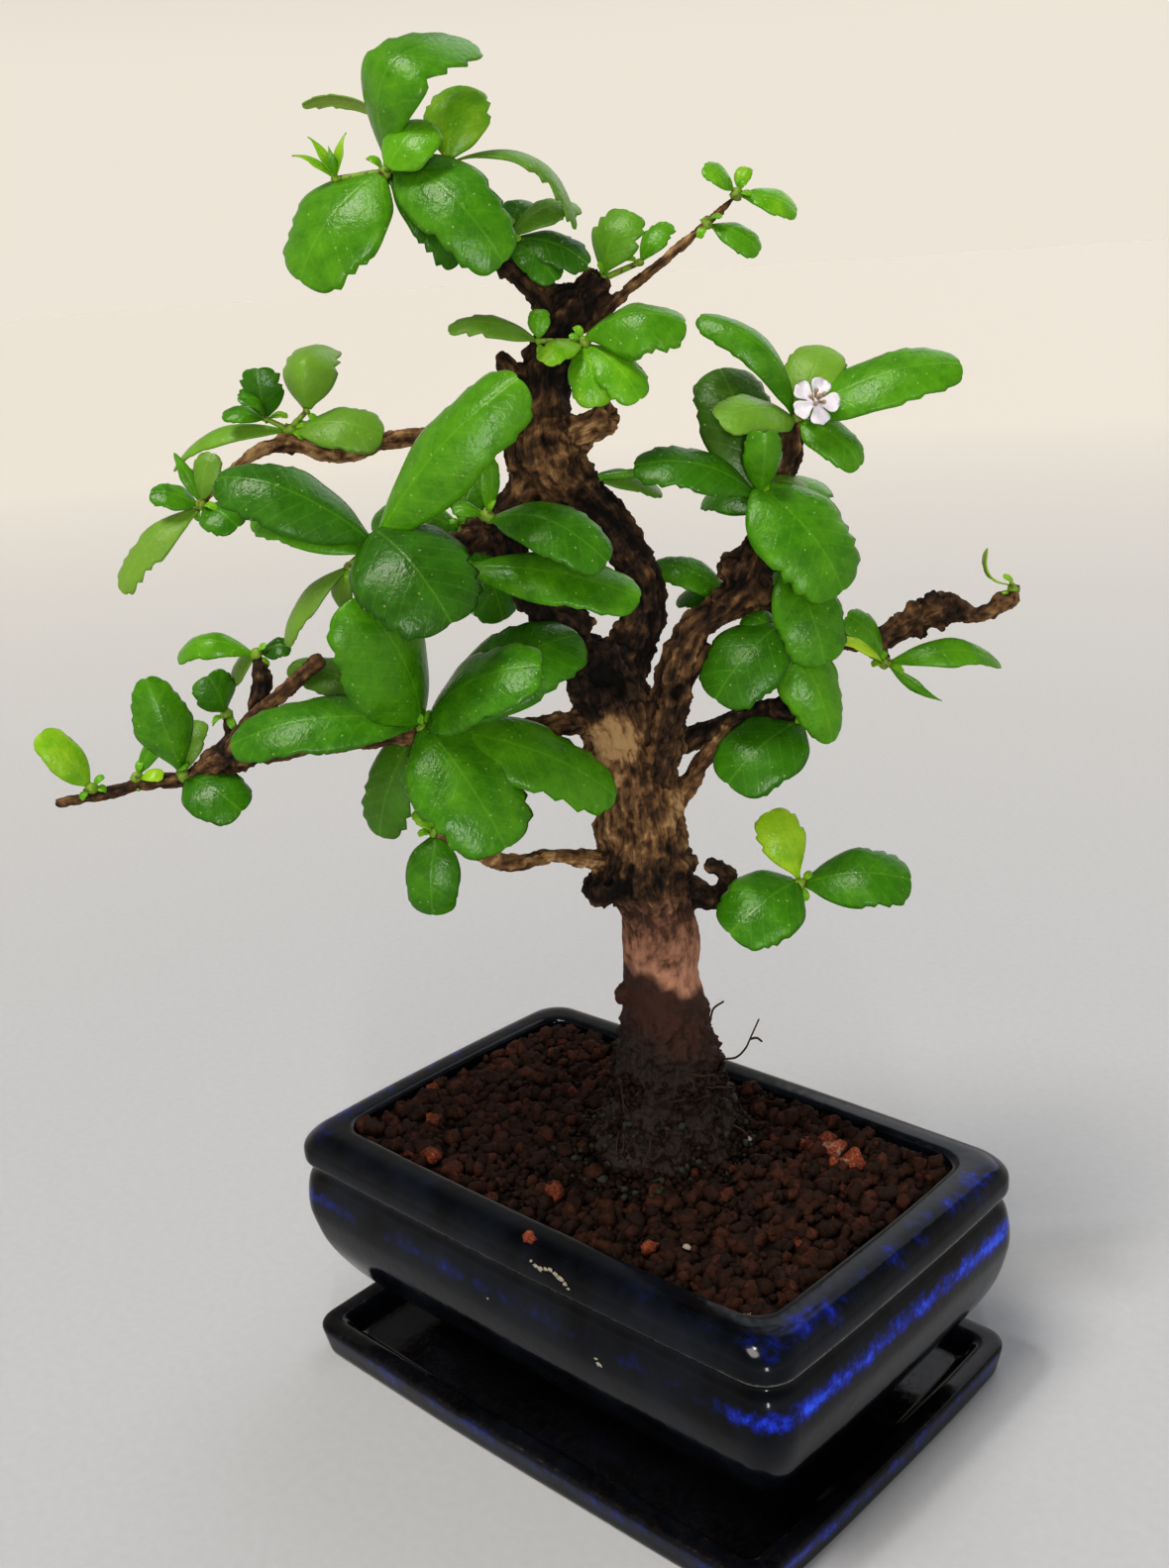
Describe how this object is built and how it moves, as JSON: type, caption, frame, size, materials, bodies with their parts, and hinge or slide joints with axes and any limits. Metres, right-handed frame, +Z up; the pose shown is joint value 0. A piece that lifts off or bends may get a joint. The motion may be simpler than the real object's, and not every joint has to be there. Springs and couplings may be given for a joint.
{
  "type": "fukien tea bonsai",
  "caption": "Small fukien tea bonsai tree with knobbly trunk, toothed glossy leaf sprays and a white flower, planted in a dark glazed rectangular pot that stands in a matching saucer.",
  "frame": {"origin": "centre of the saucer's flat base", "axes": "+Z up along the tree's height, X along the long side of the pot and saucer, Y across it"},
  "size_m": [0.1595, 0.1751, 0.3053],
  "materials": {
    "glaze": "glossy blue-black glaze, worn thin and brown along the edges",
    "soil": "damp granular clay soil",
    "bark": "rough furrowed bark, damp and dark low down",
    "leaf": "glossy leathery leaf with small white dots",
    "young_leaf": "paler young leaf, satin",
    "petal": "matt white petal",
    "stamen": "matt cream"
  },
  "bodies": {
    "root": {"corolla": "petal", "leaves_apex_left": "leaf", "leaves_apex_middle": "leaf", "leaves_back_left": "leaf", "leaves_back_right": "leaf", "leaves_behind_fork": "leaf", "leaves_far_right": "leaf", "leaves_far_right_tip": "young_leaf", "leaves_flower": "leaf", "leaves_left_branch": "leaf", "leaves_left_branch_outer": "leaf", "leaves_left_front": "leaf", "leaves_left_middle": "leaf", "leaves_left_middle_low": "leaf", "leaves_left_tip": "young_leaf", "leaves_left_up": "leaf", "leaves_left_up_low": "leaf", "leaves_left_upper": "leaf", "leaves_left_upper_tip": "young_leaf", "leaves_low_left": "leaf", "leaves_right_low": "leaf", "leaves_right_lower": "leaf", "leaves_right_middle": "leaf", "leaves_rosette": "leaf", "leaves_top_right": "leaf", "leaves_top_twig": "young_leaf", "leaves_top_twig_tip": "young_leaf", "leaves_trio": "leaf", "leaves_trunk_right": "leaf", "leaves_upper_middle": "leaf", "pot": "glaze", "saucer": "glaze", "soil": "soil", "stamens": "stamen", "trunk": "bark"}
  },
  "joints": []
}
